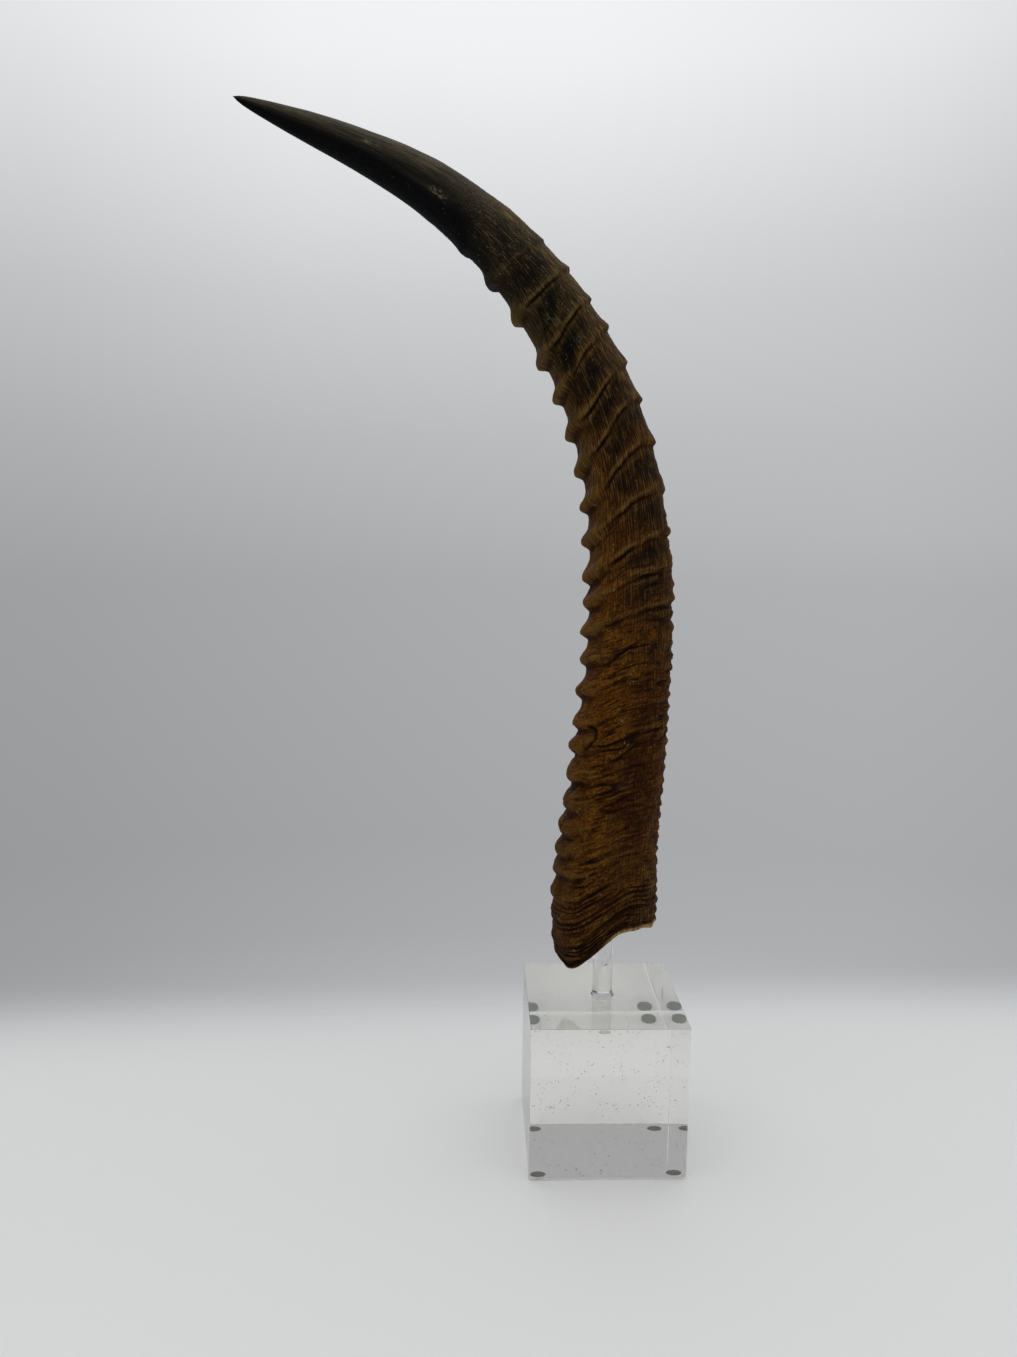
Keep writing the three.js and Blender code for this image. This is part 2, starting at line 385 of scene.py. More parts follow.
chords = np.linalg.norm(np.diff(HORN_SPINE, axis=0), axis=1)
chord_at = np.concatenate([[0], np.cumsum(chords)])
sample_at = np.linspace(0, chord_at[-1], SPINE_SAMPLES)
spine = np.stack([along(list(zip(chord_at, column)), sample_at) for column in zip(*HORN_SPINE)], 1)
spine_at = np.concatenate([[0], np.cumsum(np.linalg.norm(np.diff(spine, axis=0), axis=1))])
spine_length = spine_at[-1]
print("middle line", round(float(spine_length), 1), "mm long")


def on_spine(lengths):
    """Points of the middle line at those lengths, and its direction there."""
    place = np.stack([np.interp(lengths, spine_at, column) for column in spine.T], 1)
    step = np.gradient(spine, spine_at, axis=0)
    way = np.stack([np.interp(lengths, spine_at, column) for column in step.T], 1)
    way /= np.linalg.norm(way, axis=1, keepdims=True)
    return place + way * np.minimum(lengths, 0)[:, None], way


# %% [markdown]
# The blank is a straight tube: one ring of 128 points drawn up through the ridged stretch, and
# cut into rings 0.6 mm apart, which is fine enough for a ridge's crest. The bare tip needs fewer
# rings, so it is extruded ring by ring, 2.5 mm at a time, and closed in one point.

# %% Turn the straight blank
AROUND = 128
RIDGED_LENGTH = 403.2
COARSE_CUTS = 83
FINE_CUTS = 7
TIP_RINGS = 40

deselect()
bpy.ops.mesh.primitive_cylinder_add(
    vertices=AROUND,
    radius=HALF_WIDTH[0][1] * MM,
    depth=RIDGED_LENGTH * MM,
    end_fill_type="NOTHING",
    location=(0, 0, RIDGED_LENGTH * MM / 2),
)
horn = take("horn_sheath")


def select_edges(piece, wanted):
    """In edit mode, selects only the edges whose two ends pass the test."""
    bpy.ops.mesh.select_all(action="DESELECT")
    bpy.ops.mesh.select_mode(type="EDGE")
    bpy.ops.object.mode_set(mode="OBJECT")
    points = piece.data.vertices
    for edge in piece.data.edges:
        edge.select = wanted(points[edge.vertices[0]].co, points[edge.vertices[1]].co)
    bpy.ops.object.mode_set(mode="EDIT")


bpy.ops.object.mode_set(mode="EDIT")
for cuts in (COARSE_CUTS, FINE_CUTS):
    select_edges(horn, lambda a, b: abs(a.z - b.z) > 0.1 * MM)
    bpy.ops.mesh.subdivide(number_cuts=cuts)
select_edges(horn, lambda a, b: min(a.z, b.z) > (RIDGED_LENGTH - 0.01) * MM)
tip_step = (TIP - RIDGED_LENGTH) / TIP_RINGS * MM
for _ in range(TIP_RINGS):
    bpy.ops.mesh.extrude_region_move(TRANSFORM_OT_translate={"value": (0, 0, tip_step)})
bpy.ops.mesh.merge(type="CENTER")
bpy.ops.object.mode_set(mode="OBJECT")
print("blank:", len(horn.data.vertices), "points,", len(horn.data.polygons), "faces")

# %% [markdown]
# ## Growth ridges
#
# A horn grows from its base, and leaves ridge after ridge as it does. On the front a ridge swells
# into a knob, steep towards the base and easy towards the tip. On the sides it is a thin crest with
# a groove under it, and under that a second, lower lip. On the back it is a low step like a roof
# tile's. No modifier knows about growth lines, so the relief is worked out in code, point by point.
# The same sums say where a groove is painted dark, as dirt and as painted shade, and where a crest
# is painted pale, as wear and as a painted highlight, and those two are kept for the colours.

# %% Where the ridges are and how high they stand
# growth lines that a ridge's crest runs along
RIDGES = [12, 23, 34, 46, 56, 67, 79, 93, 108, 120, 135, 150, 165, 180, 194, 211, 229, 248, 267]
RIDGES += [288, 308, 333, 355, 377, 399]
# growth line, and a ridge's height on the front, on the sides and on the back
KNOB_HEIGHT = [(0, 0.4), (22, 1.4), (40, 2.6), (60, 3.2), (90, 3.6), (135, 3.9), (310, 4.1)]
KNOB_HEIGHT += [(355, 3.2), (376, 1.2), (399, 0.2)]
CREST_HEIGHT = [(0, 0.2), (60, 0.35), (130, 0.5), (170, 0.9), (205, 1.2), (240, 1.2)]
CREST_HEIGHT += [(310, 1.0), (345, 0.8), (366, 0.2), (377, 0), (399, 0)]
STEP_HEIGHT = [(0, 0.1), (150, 0.3), (195, 1.3), (240, 2.1), (300, 1.8), (333, 1.5)]
STEP_HEIGHT += [(355, 0.9), (376, 0.3), (399, 0)]
print("ridges:", len(RIDGES), "from", RIDGES[0], "to", RIDGES[-1], "mm")


def lumps(points, size, seed):
    """Smooth noise from about -1 to 1, whose lumps are about that size along each axis."""
    shift = np.array((seed * 17.3, seed * -9.1, seed * 5.7))
    return np.array([noise.noise(p) for p in (points / np.array(size) + shift).tolist()])


def bell(distance, below, above, power_below=2.0, power_above=2.0):
    """1 at a ridge's line, falling to 0 over different reaches towards base and tip."""
    down = np.exp(-((np.abs(distance) / below) ** power_below))
    up = np.exp(-((np.abs(distance) / above) ** power_above))
    return np.where(distance < 0, down, up)


def creases(points, size, seed, thinness=5.0):
    """Thin wandering lines, 1 on the line and 0 off it, that run where the noise is nought."""
    return np.clip(1 - thinness * np.abs(lumps(points, size, seed)), 0, 1)


# %% Name every point by its growth line and its turn
count = len(horn.data.vertices)
blank = np.zeros(count * 3)
horn.data.vertices.foreach_get("co", blank)
blank = blank.reshape(-1, 3) / MM
growth = np.clip(blank[:, 2], 0, TIP)
radius = np.maximum(np.hypot(blank[:, 0], blank[:, 1]), 1e-6)
tip_point = radius < 0.01
cos_a = np.where(tip_point, 1.0, -blank[:, 0] / radius)
sin_a = np.where(tip_point, 0.0, -blank[:, 1] / radius)
turn = np.degrees(np.arctan2(np.abs(sin_a), cos_a))
ROUND = 20  # the radius of the straight horn that patterns are laid on, +X at its front
straight = np.stack([ROUND * cos_a, ROUND * sin_a, growth], 1)

wavy = growth + 2.2 * lumps(straight, (22, 22, 40), 1) + 1.3 * lumps(straight, (9, 9, 14), 2)
wavy += 0.5 * lumps(straight, 4, 9)
straight[:, 2] = wavy
front = soft_step(0.4, 0.92, cos_a)
back = soft_step(0.55, 0.97, -cos_a)
flank = 1 - front - back
lower = 1 - soft_step(150, 260, growth)
ridged = 1 - soft_step(385, 425, growth)
print("turn from", round(float(turn.min())), "to", round(float(turn.max())), "degrees")

# %% Raise the ridges
FACE_ENDS = (98, 138)  # degrees round, between which a crest dies out towards the back

face = 1 - soft_step(*FACE_ENDS, turn + 18 * lumps(straight, (30, 30, 14), 20))
face += 0.8 * (1 - face) * lower
relief = np.zeros(count)
groove = np.zeros(count)
crest = np.zeros(count)
for number, ridge in enumerate(RIDGES):
    away = wavy - ridge
    vary = 1 + 0.2 * lumps(straight, 14, 10 + number)
    strong = np.clip(0.95 + 1.2 * lumps(straight, (12, 12, 90), 40 + number), 0.4, 1.4)
    knob = bell(away, 3.2, 5.0, 3.0, 2.1)
    edge = bell(away, 0.9, 1.5)
    swell = bell(away, 1.8, 7.0, 2, 1.4)
    under = bell(away + 1.9, 0.8, 0.8)
    second_lip = bell(away + 4.3, 1.4, 1.2)
    tile = bell(away, 1.5, 5.5, 2.6, 1.4)
    flank_height = along(CREST_HEIGHT, ridge) * flank
    side = flank_height * strong * face
    relief += along(KNOB_HEIGHT, ridge) * vary * front * knob
    relief += side * (0.32 * edge + 0.2 * second_lip - 0.42 * under) + 0.65 * flank_height * swell
    relief += along(STEP_HEIGHT, ridge) * vary * back * tile
    thread = bell(away + 2.6, 0.6, 0.6) * strong * (1 - front) * (lower if ridge > 88 else 0)
    relief -= 0.3 * thread
    # groove paints shade, and dirt, under each crest; crest paints a highlight, and wear, along it
    groove = np.maximum(groove, np.maximum(0.8 * side * under, 0.62 * thread))
    crest = np.maximum(crest, side * (edge + 0.5 * second_lip))
print("highest relief", round(float(relief.max()), 2), "mm")

# %% [markdown]
# Between the ridges the lower half is creased like bark, and the lowest stretch above the rim
# splits into thin sheets, the horn's youngest layers. Down the back of that half the growth
# lines are low even beads, about six millimetres apart. One crack curls round a knob's foot.

# %% Add the creases, the split layers, the beads and the crack
BEAD = 6.1
LAYER = 2.7
CRACK_PLACE = (35, 111)  # degrees round from the front, and growth line in mm
CRACK_REACH = (4.5, 5.6)  # half its width and half its height, mm

off_knobs = 1 - 0.6 * front
big = creases(straight, (26, 26, 4.0), 3, 6.5) * (0.12 + 0.88 * lower) * off_knobs
small = creases(straight, (13, 13, 2.2), 4, 5) * lower * (1 - 0.3 * front)
faint = creases(straight, (14, 14, 3.2), 12, 6) * (1 - lower) * ridged * 0.5
patchy = np.clip(0.65 + 1.0 * lumps(straight, (16, 16, 12), 13), 0.3, 1)
layer_shift = 2.4 * lumps(straight, (26, 26, 6), 5)
layer_wave = 0.5 + 0.5 * np.cos(2 * np.pi * (wavy + layer_shift) / LAYER)
layers = layer_wave**1.4 * (1 - soft_step(16, 42, growth))
layers *= np.clip(0.7 + 1.5 * lumps(straight, (13, 13, 5), 6), 0, 1.3) * (1 - 0.8 * back)
beads = back * lower * np.cos(2 * np.pi * wavy / BEAD)
across_crack = np.radians(turn - CRACK_PLACE[0]) * ROUND / CRACK_REACH[0]
up_crack = (growth - CRACK_PLACE[1]) / CRACK_REACH[1]
crack = bell(np.hypot(across_crack, up_crack) - 1, 0.16, 0.16) * soft_step(-0.3, 0.3, across_crack)
crack *= sin_a > 0  # on one side only

relief -= 0.75 * big * patchy + 0.5 * small * patchy + 0.3 * faint
relief -= 0.6 * layers + 0.9 * crack
relief += 0.4 * beads
relief += lower * (0.5 * lumps(straight, (6, 6, 4.5), 8) + 0.3 * lumps(straight, 2.6, 14))
relief += 0.45 * ridged * lumps(straight, (18, 18, 22), 7)
relief += 0.12 * (1 - lower) * lumps(straight, (5, 5, 9), 15)
# the creases, split layers and crack are painted dark too, partly as dirt and partly as painted
# shade
for line in (0.95 * big * patchy, 0.7 * small * patchy, 0.5 * faint, 1.4 * layers, crack):
    groove = np.maximum(groove, line)
print("creases cover", round(float((groove > 0.3).mean()), 3), "of the horn")

# %% [markdown]
# The high places are painted pale, partly as wear from handling and partly as painted light, and
# the low ones dark, partly as dirt and partly as painted shade. How far a point stands out from its
# surroundings is its relief less the relief smoothed over its neighbours. Half way between two
# ridges the upper flank is nearly black. On the bare tip the back faces up, and it is painted a
# dull brownish grey, partly as wear and partly as a painted sheen of the light from above; a few
# pale scuffs are on it and below it.

# %% Tables of the patches, the stain and the scuffs
# growth line, and there the dark patches' middle in degrees round, and their strength
PATCH_TURN = [(0, 125), (190, 112), (240, 106), (258, 97), (277, 82), (300, 77), (325, 74)]
PATCH_TURN += [(502, 76)]
PATCH_DEPTH = [(0, 0), (90, 0.35), (160, 0.6), (200, 0.85), (260, 1.0), (335, 1.0), (365, 0.55)]
PATCH_DEPTH += [(400, 0), (502, 0)]
PATCH_REACH = (46, 0.4)  # degrees round, and share of the way between two ridges
STAIN_PLACE = (105, 78)  # degrees round, and growth line
# growth line, degrees round, half height, half width and strength of a scuff
SCUFFS = [(403, 79, 5, 2.3, 1.0), (438, 107, 4, 1.8, 0.8), (319, 67, 3, 3, 0.3)]
SCUFFS += [(314, 75, 3, 2, 0.3), (294, 93, 3, 3, 0.3)]
SMOOTHING = 40  # rounds
print("scuffs:", len(SCUFFS))


# %% Find what stands proud
def smoothed(values, edges, rounds):
    """Values averaged with their neighbours' along the mesh's edges, again and again."""
    ends = np.concatenate([edges, edges[:, ::-1]])
    near = np.bincount(ends[:, 0], minlength=len(values))
    for _ in range(rounds):
        total = np.bincount(ends[:, 0], values[ends[:, 1]], len(values))
        values = (values + total / np.maximum(near, 1)) / 2
    return values


edges = np.zeros(len(horn.data.edges) * 2, int)
horn.data.edges.foreach_get("vertices", edges)
# the high places are painted pale and the low ones dark from this: partly wear and dirt, partly
# painted light and shade
proud = relief - smoothed(relief, edges.reshape(-1, 2), SMOOTHING)
print("stands proud by up to", round(float(proud.max()), 2), "mm")

# %% Find what is dark, what is worn and where the tip's sheen is painted
patch = np.zeros(count)
round_patch = bell(turn - along(PATCH_TURN, growth), PATCH_REACH[0], PATCH_REACH[0], 3.5, 3.5)
for low, high in zip(RIDGES, RIDGES[1:]):
    middle = low + 0.5 * (high - low)
    reach = PATCH_REACH[1] * (high - low)
    depth = along(PATCH_DEPTH, middle)
    patch = np.maximum(patch, depth * round_patch * bell(wavy - middle, reach, reach, 3, 3))
patch *= np.clip(1.0 + 0.6 * lumps(straight, (8, 8, 8), 16), 0.3, 1.1)
# the back of the bare tip faces up: painted paler, partly as wear and partly as painted sheen
worn = soft_step(-0.45, 0.8, -cos_a + 0.35 * lumps(straight, (6, 6, 40), 17))
worn *= soft_step(372, 415, growth)
rubbed = (1 - soft_step(25, 60, turn)) * (1 - soft_step(325, 355, growth))
rubbed += soft_step(105, 140, turn)
rubbed *= np.clip(0.7 + 0.9 * lumps(straight, (9, 9, 16), 21), 0, 1) * ridged
unrolled = np.stack([np.radians(turn) * ROUND, growth, ROUND * sin_a], 1)
scuff = np.zeros(count)
ragged = 0.5 * lumps(straight, (3, 3, 3), 22)
for at, turned, tall, wide, strength in SCUFFS:
    off = np.hypot((growth - at) / tall, np.radians(turn - turned) * ROUND / wide)
    scuff += strength * (sin_a > 0) * soft_step(1.25, 0.7, off + ragged)
stained = bell(turn - STAIN_PLACE[0], 26, 26) * bell(growth - STAIN_PLACE[1], 42, 50, 3, 3)
stained *= np.clip(0.9 + 1.1 * lumps(straight, (12, 12, 5), 24), 0, 1)
kept = {"proud": proud, "groove": groove, "crest": crest, "patch": patch, "worn": worn}
kept.update({"rubbed": rubbed, "scuff": scuff, "stained": stained})
kept["cut_edge"] = soft_step(2.6, 1.2, growth) * soft_step(80, 100, turn)
for name, values in kept.items():
    print(name, "from", round(float(values.min()), 2), "to", round(float(values.max()), 2))

# %% [markdown]
# Now every point of the blank is laid where it belongs: up the climbing growth line, out from
# the middle line by half the width there, and further out by the relief. The rim is broken and
# ragged, and at the very front it is worn thin and to a point.

# %% Bend the blank into the horn
RAGGED = 0.9  # how far the broken rim wanders, mm
FRONT_LIFT = 3.5  # how much the rim is worn away at the very front, mm
FRONT_WEAR = 1.2  # and how much thinner the horn is there, mm


def lay(line, cos_turn, sin_turn, raised):
    """Points of the horn, in the block's own frame, for growth lines, angles and relief."""
    across = (1 - cos_turn) / 2
    settled = np.sin(np.pi / 2 * across)
    at_rim = soft_step(0.06, 0.68, across)
    fade = np.clip(line / RIM_SWEEP_FADES, 0, 1)
    climbed = line + along(GROWTH_CLIMB, line) * (at_rim + (settled - at_rim) * fade)
    climbed = np.clip(climbed, -RAGGED, TIP)
    place, way = on_spine(climbed / TIP * spine_length)
    sideways = np.array([0, -1, 0]) + way * way[:, 1:2]
    sideways /= np.linalg.norm(sideways, axis=1, keepdims=True)
    half_depth = along(HALF_WIDTH, climbed)
    half_side = half_depth * along(SIDE_RATIO, climbed)
    forward = np.cross(sideways, way) * ((half_depth + raised) * cos_turn)[:, None]
    return place + forward + sideways * ((half_side + raised) * sin_turn)[:, None]


relief *= soft_step(TIP, TIP - 20, growth)
at_edge = np.exp(-growth / 4)
frayed = lumps(straight, (5, 5, 30), 18) + 0.6 * lumps(straight, (2.2, 2.2, 30), 19)
growth_laid = growth + RAGGED * at_edge * frayed * (0.5 + soft_step(0.2, 0.9, -cos_a))
growth_laid += FRONT_LIFT * np.exp(-growth / 9) * soft_step(0.7, 1, cos_a)
relief -= FRONT_WEAR * np.exp(-growth / 7) * soft_step(0.6, 1, cos_a)
points = lay(growth_laid, cos_a, sin_a, relief) + BLOCK_MIDDLE
horn.data.vertices.foreach_set("co", (points * MM).ravel())
for name, values in kept.items():
    horn.data.attributes.new(name, "FLOAT", "POINT").data.foreach_set("value", values)
places = {"straight": straight, "unrolled": unrolled}
for name, values in places.items():
    layer = horn.data.attributes.new(name, "FLOAT_VECTOR", "POINT")
    layer.data.foreach_set("vector", values.ravel())
horn.data.update()
print("horn from", points.min(0).round(1), "to", points.max(0).round(1), "mm")

# %% [markdown]
# ## Lip and hollow
#
# The sheath is open below: its wall is about three millimetres thick at the rim, and the hollow
# inside narrows upwards until it sits on the rod. The rim's loop is extruded inwards for the lip,
# then up to a circle just wider than the rod, then along the rod, and closed over its top.

# %% Extrude the lip and the hollow
LIP_WALL = 3.2
SOCKET_DEPTH = 15
SEAT_GAP = 0.3
HORN_SMOOTH = 70  # degrees, up to which the horn is shaded smooth
rod_low, rod_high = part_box("rod")
rod_middle = (rod_low + rod_high) / 2
socket_radius = (rod_high.x - rod_low.x) / 2 + SEAT_GAP * MM
socket_low = rod_high.z - SOCKET_DEPTH * MM
half_depth = HALF_WIDTH[0][1] * MM
half_side = half_depth * SIDE_RATIO[0][1]
rim_middle = Vector((BLOCK_MIDDLE + HORN_SPINE[0]) * MM)

outside_faces = len(horn.data.polygons)
bpy.ops.object.mode_set(mode="EDIT")
bpy.ops.mesh.select_mode(type="VERT")
bpy.ops.mesh.select_all(action="DESELECT")
bpy.ops.mesh.select_non_manifold(extend=False)
bpy.ops.mesh.extrude_region_move()
thinner = [1 - LIP_WALL * MM / half for half in (half_depth, half_side)]
bpy.ops.transform.resize(value=(*thinner, 1), center_override=rim_middle)
bpy.ops.mesh.extrude_region_move()
inner = [half - LIP_WALL * MM for half in (half_depth, half_side)]
narrow = [socket_radius / half for half in inner]
bpy.ops.transform.resize(value=(*narrow, 0), center_override=rim_middle)
to_socket = Vector((rod_middle.x, rod_middle.y, socket_low)) - rim_middle
bpy.ops.transform.translate(value=to_socket)
up_the_rod = (0, 0, rod_high.z + SEAT_GAP * MM - socket_low)
bpy.ops.mesh.extrude_region_move(TRANSFORM_OT_translate={"value": up_the_rod})
bpy.ops.mesh.extrude_region_move()
bpy.ops.mesh.merge(type="CENTER")
bpy.ops.object.mode_set(mode="OBJECT")
for face in horn.data.polygons:
    face.material_index = int(face.index >= outside_faces)
bpy.ops.object.shade_smooth_by_angle(angle=math.radians(HORN_SMOOTH))
print("horn:", len(horn.data.polygons), "faces,", outside_faces, "of them outside")

# %% [markdown]
# ## Keratin
#
# Horn is keratin fibre set in its own glue, grown lengthwise and worn by bark and soil: black and
# dull at the tip, brown with fine lengthwise fibres between the ridges, and golden with red-brown
# grooves near the base. It isn't polished, so its gloss is low. The fibres are about 0.8 mm apart
# on the real horn, and are drawn a little wider so that they show.
#
# The look is built as a painter would: a body colour that changes from base to tip, then thin
# coats over it. How strongly a coat shows depends on a pattern or on one of the horn's own numbers,
# and masks hold it back to a part of the horn. Patterns are noise whose lumps have a real size.

# %% Helpers for patterns, coats and surfaces
SPAN_AND_STRENGTH = ("From Min", "From Max", "To Min", "To Max")


def streaks(tree, vector, sizes, detail, seed):
    """Noise whose lumps have that size, in the vector's own unit, along each axis."""
    shape = {"Vector": vector, "Scale": [1 / s for s in sizes], "Location": (seed, 0, 0)}
    scaled = add(tree, "Mapping", shape)
    look = {"Vector": scaled, "Scale": 1.0, "Detail": detail, "Roughness": 0.6}
    return add(tree, "TexNoise", look).outputs["Fac"]


def paint(tree, values, colour, coats):
    """Lays coats on a colour: each has a shade, the value that rules it and the span of that
    value it shows in, its strength at the span's ends, and the masks that hold it back."""
    for shade, ruler, span, strength, *masks in coats:
        limits = dict(zip(SPAN_AND_STRENGTH, span + strength))
        amount = add(tree, "MapRange", {"Value": values[ruler], **limits})
        for mask in masks:
            both = {0: amount, 1: values[mask]}
            amount = add(tree, "Math", both, operation="MULTIPLY")
        coat = {"Factor": amount, "A": colour, "B": linear(shade)}
        colour = add(tree, "Mix", coat, data_type="RGBA").outputs["Result"]
    return colour


def surface(tree, look, heights, strength, depth, **outputs):
    """Ends a material: a surface of that look, with heights that stand out by up to that depth."""
    raised = {"Height": heights, "Strength": strength, "Distance": depth * MM}
    look["Normal"] = add(tree, "Bump", raised)
    skin = add(tree, "BsdfPrincipled", look)
    add(tree, "OutputMaterial", {"Surface": skin, **outputs})


# %% Patterns and masks of the keratin
FIBRE = 1.0
FIBRE_RUN = 7
BLOTCH = 14
BAND = 1.3  # width of one of the wave's bands, in fibres
BAND_SHARE = 0.3  # how much of the fibres is such bands
WAVE_UNIT = math.pi / 10  # the length of a wave texture's band at scale 1

# a lump's size in mm across, across and along the horn, its detail, and its place in the noise
PATTERNS = {
    "strand": ((FIBRE, FIBRE, FIBRE_RUN), 2.0, 3),
    "wrinkle": ((7, 7, 1.1), 3.0, 11),
    "blotch": ((BLOTCH, BLOTCH, BLOTCH), 4.0, 23),
    "stain": ((BLOTCH / 3, BLOTCH / 3, BLOTCH / 2), 3.0, 31),
    "dust": ((1.2, 1.2, 1.2), 1.0, 47),
    "streak": ((2.2, 2.2, 13.2), 4.0, 53),
    "fleck": ((1.1, 1.1, 2.2), 2.0, 59),
    "grain": ((1.0, 1.0, 1.0), 2.0, 61),
}
# the value that rules a mask, the value's span, and how much the mask lets through at its ends;
# share is the way from base to tip, and forward is 20 at the front and -20 at the back
MASKS = {
    "front_half": ("forward", (-7, 5), (0, 1)),
    "rear_half": ("forward", (6, -8), (0, 1)),
    "rear": ("forward", (-9, -17), (0, 1)),
    "knobs": ("forward", (10, 17), (0, 1)),
    "off_knobs": ("forward", (17, 10), (0.7, 1)),
    "lower": ("share", (0.3, 0.52), (1, 0)),
    "upper": ("share", (0.25, 0.45), (0, 1)),
    "below_bare": ("share", (0.73, 0.79), (1, 0)),
    "below_tip": ("share", (0.81, 0.77), (0, 1)),
    "warm": ("share", (0.48, 0.66), (1, 0.15)),
    "cool": ("share", (0.48, 0.66), (0, 1)),
    "dusty": ("share", (0.72, 0.8), (1, 0.25)),
    "between_fibres": ("fibre", (0.56, 0.44), (0.35, 1)),
    "stained_spots": ("stain", (0.5, 0.6), (0, 1)),
}
LEAN = 0.04  # the black tip begins that share lower at the front than in the middle
print("patterns:", len(PATTERNS), "masks:", len(MASKS))


# %% Read the horn's numbers and mix its patterns
def horn_values(tree):
    """The horn's own numbers, its patterns and its masks, by name, for other nodes to read."""
    values = {}
    for name in kept:
        values[name] = add(tree, "Attribute", attribute_name=name).outputs["Fac"]
    for name in places:
        values[name] = add(tree, "Attribute", attribute_name=name).outputs["Vector"]
    place = add(tree, "SeparateXYZ", {0: values["straight"]}).outputs
    values["forward"] = place["X"]
    up = {"Value": place["Z"], "From Max": TIP}
    values["share"] = add(tree, "MapRange", up)
    leaning = {0: place["X"], 1: LEAN / ROUND, 2: values["share"]}
    values["slant"] = add(tree, "Math", leaning, operation="MULTIPLY_ADD")
    for name, (sizes, detail, seed) in PATTERNS.items():
        values[name] = streaks(tree, values["straight"], sizes, detail, seed)
    long_way = {"Vector": values["unrolled"], "Scale": (1, 1 / FIBRE_RUN, 1)}
    bands = {"Vector": add(tree, "Mapping", long_way), "Distortion": 4.5}
    bands.update({"Scale": WAVE_UNIT / FIBRE / BAND, "Detail": 2.0, "Detail Scale": 0.8})
    comb = add(tree, "TexWave", bands, bands_direction="X").outputs["Fac"]
    softer = {"Value": comb, "To Min": 0.3, "To Max": 0.7}
    combed = add(tree, "MapRange", softer)
    fibre = {0: BAND_SHARE, 2: values["strand"], 3: combed}
    values["fibre"] = add(tree, "Mix", fibre)
    for name, (ruler, span, through) in MASKS.items():
        limits = dict(zip(SPAN_AND_STRENGTH, span + through))
        values[name] = add(tree, "MapRange", {"Value": values[ruler], **limits})
    return values


print("values on the horn:", *kept, *places)

# %% Body colours and coats of the keratin
BODY = [
    (0.0, "#33200e"),
    (0.06, "#5a370e"),
    (0.2, "#643907"),
    (0.38, "#653906"),
    (0.5, "#5b360b"),
    (0.6, "#533a12"),
    (0.68, "#524223"),
    (0.74, "#373123"),
    (0.78, "#27231b"),
    (0.81, "#11100e"),
    (0.84, "#0b0b0b"),
    (1.0, "#0a0a0b"),
]
# shade, the value that rules it, the value's span, the strength at its ends, and masks
COATS = [
    # the horn itself: blotches, yellow stains, red-brown wrinkles and fine grain
    ("#33190a", "blotch", (0.47, 0.62), (0, 0.7), "warm"),
    ("#1d1810", "blotch", (0.45, 0.62), (0, 0.7), "cool", "below_tip"),
    ("#7d5612", "stain", (0.52, 0.68), (0, 0.5), "lower"),
    ("#270d03", "wrinkle", (0.48, 0.38), (0, 0.9), "lower"),
    ("#2c1204", "grain", (0.48, 0.38), (0, 0.55), "warm"),
    ("#151008", "grain", (0.48, 0.38), (0, 0.6), "cool", "below_tip"),
    ("#857a5c", "grain", (0.56, 0.68), (0, 0.35), "cool", "below_tip"),
    ("#85601c", "grain", (0.55, 0.66), (0, 0.45), "lower"),
    # fibres: opened by wear on the upper half and down the back
    ("#624c2c", "rubbed", (0, 1), (0, 0.6), "upper", "below_bare"),
    ("#7b6238", "fibre", (0.43, 0.36), (0, 0.7), "rear", "below_tip"),
    ("#1a130b", "fibre", (0.47, 0.56), (0, 0.75), "upper", "below_bare", "off_knobs"),
    ("#7d6a45", "fibre", (0.43, 0.36), (0, 0.5), "upper", "below_bare", "off_knobs"),
    ("#241006", "fibre", (0.47, 0.56), (0, 0.6), "lower", "rear_half"),
    # the stained zone and the black patches between the ridges
    ("#2a0c05", "wrinkle", (0.62, 0.4), (0.35, 0.95), "stained"),
    ("#0d0a06", "fibre", (0.36, 0.52), (0.62, 1), "patch"),
    # high places and crests painted pale (wear and painted light), dark knobs at both ends, and low
    # places and grooves painted dark (dirt and painted shade)
    ("#2c1a08", "share", (0.34, 0.12), (0, 0.4), "knobs"),
    ("#7a602a", "proud", (0.12, 1.3), (0, 0.42)),
    ("#14120e", "share", (0.655, 0.7), (0, 0.85), "knobs"),
    ("#6f5a36", "crest", (0.25, 1.1), (0, 0.45), "between_fibres"),
    ("#200902", "proud", (-0.1, -0.55), (0, 0.7)),
    ("#150602", "groove", (0.2, 0.75), (0, 0.88)),
    # the rim's pale cut edge, the black tip with painted sheen and wear on its back, scuffs, dust
    ("#b8955c", "fibre", (0.6, 0.4), (0.4, 0.9), "cut_edge"),
    ("#08090b", "slant", (0.745, 0.785), (0, 1), "front_half"),
    ("#4f4837", "streak", (0.62, 0.4), (0.3, 1), "worn"),
    ("#66624c", "fleck", (0.46, 0.58), (0, 1), "scuff"),
    ("#8d8468", "dust", (0.68, 0.74), (0, 0.5), "stained_spots", "dusty"),
]
POLISH = (0.6, 0.9, 0.62, 0.45)  # span of the share, and the roughness at its ends
HORN_IOR = 1.54
print("keratin:", len(BODY), "body colours under", len(COATS), "coats")


# %% Mix the keratin
def keratin():
    material, tree = new_material("weathered horn keratin")
    values = horn_values(tree)
    stops = [(share, linear(shade)) for share, shade in BODY]
    body = add(tree, "ValToRGB", {"Fac": values["share"]}, stops=stops)
    polish = dict(zip(SPAN_AND_STRENGTH, POLISH))
    rough = add(tree, "MapRange", {"Value": values["share"], **polish})
    heights = values["fibre"]
    for name in ("wrinkle", "grain"):
        both = {0: heights, 1: values[name]}
        heights = add(tree, "Math", both, operation="ADD")
    look = {"Base Color": paint(tree, values, body, COATS), "Roughness": rough}
    look.update({"IOR": HORN_IOR, "Specular IOR Level": 0.04})
    surface(tree, look, heights, strength=1.0, depth=0.35)
    return material


horn.data.materials.append(keratin())
print("mixed:", horn.data.materials[0].name)

# %% [markdown]
# The lip and the hollow are raw horn that never met the weather: paler, dull, and stained where
# the skull's bone core sat in it. Its fibres and stains are as large as those outside.


